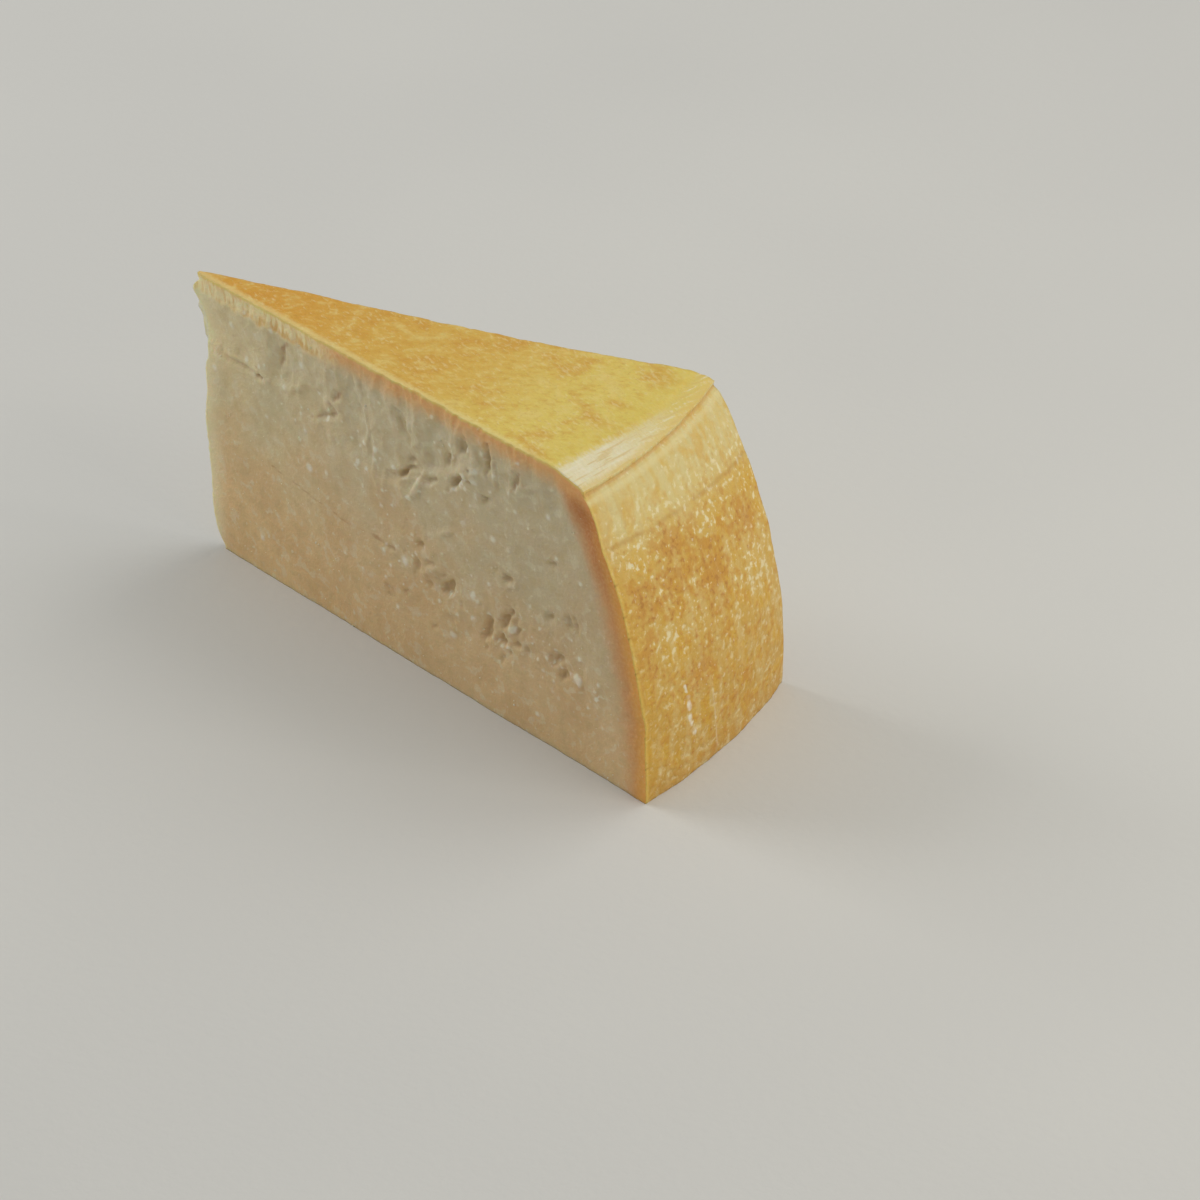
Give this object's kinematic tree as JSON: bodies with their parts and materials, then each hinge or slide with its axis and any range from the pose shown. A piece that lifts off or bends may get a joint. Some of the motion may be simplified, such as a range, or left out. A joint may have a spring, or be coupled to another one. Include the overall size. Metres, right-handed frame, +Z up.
{
  "type": "parmesan wedge",
  "caption": "Wedge of aged hard grating cheese with a torn, pitted cut side, a flat golden top rind, a grooved rim and a barrel-shaped outer rind, standing on its flat cut base.",
  "frame": {"origin": "middle of the wedge's footprint, on the flat base", "axes": "+Z up towards the flat top rind, +X from the thin front edge (the wheel's middle) to the barrel-shaped outer rind, +Y towards the plainer cut side, so the pitted cut side faces -Y"},
  "size_m": [0.2192, 0.0848, 0.1102],
  "materials": {
    "aged_cheese": "golden, dry, faintly oily rind over pale straw-coloured granular paste"
  },
  "bodies": {
    "root": {"parmesan_wedge": "aged_cheese"}
  },
  "joints": []
}
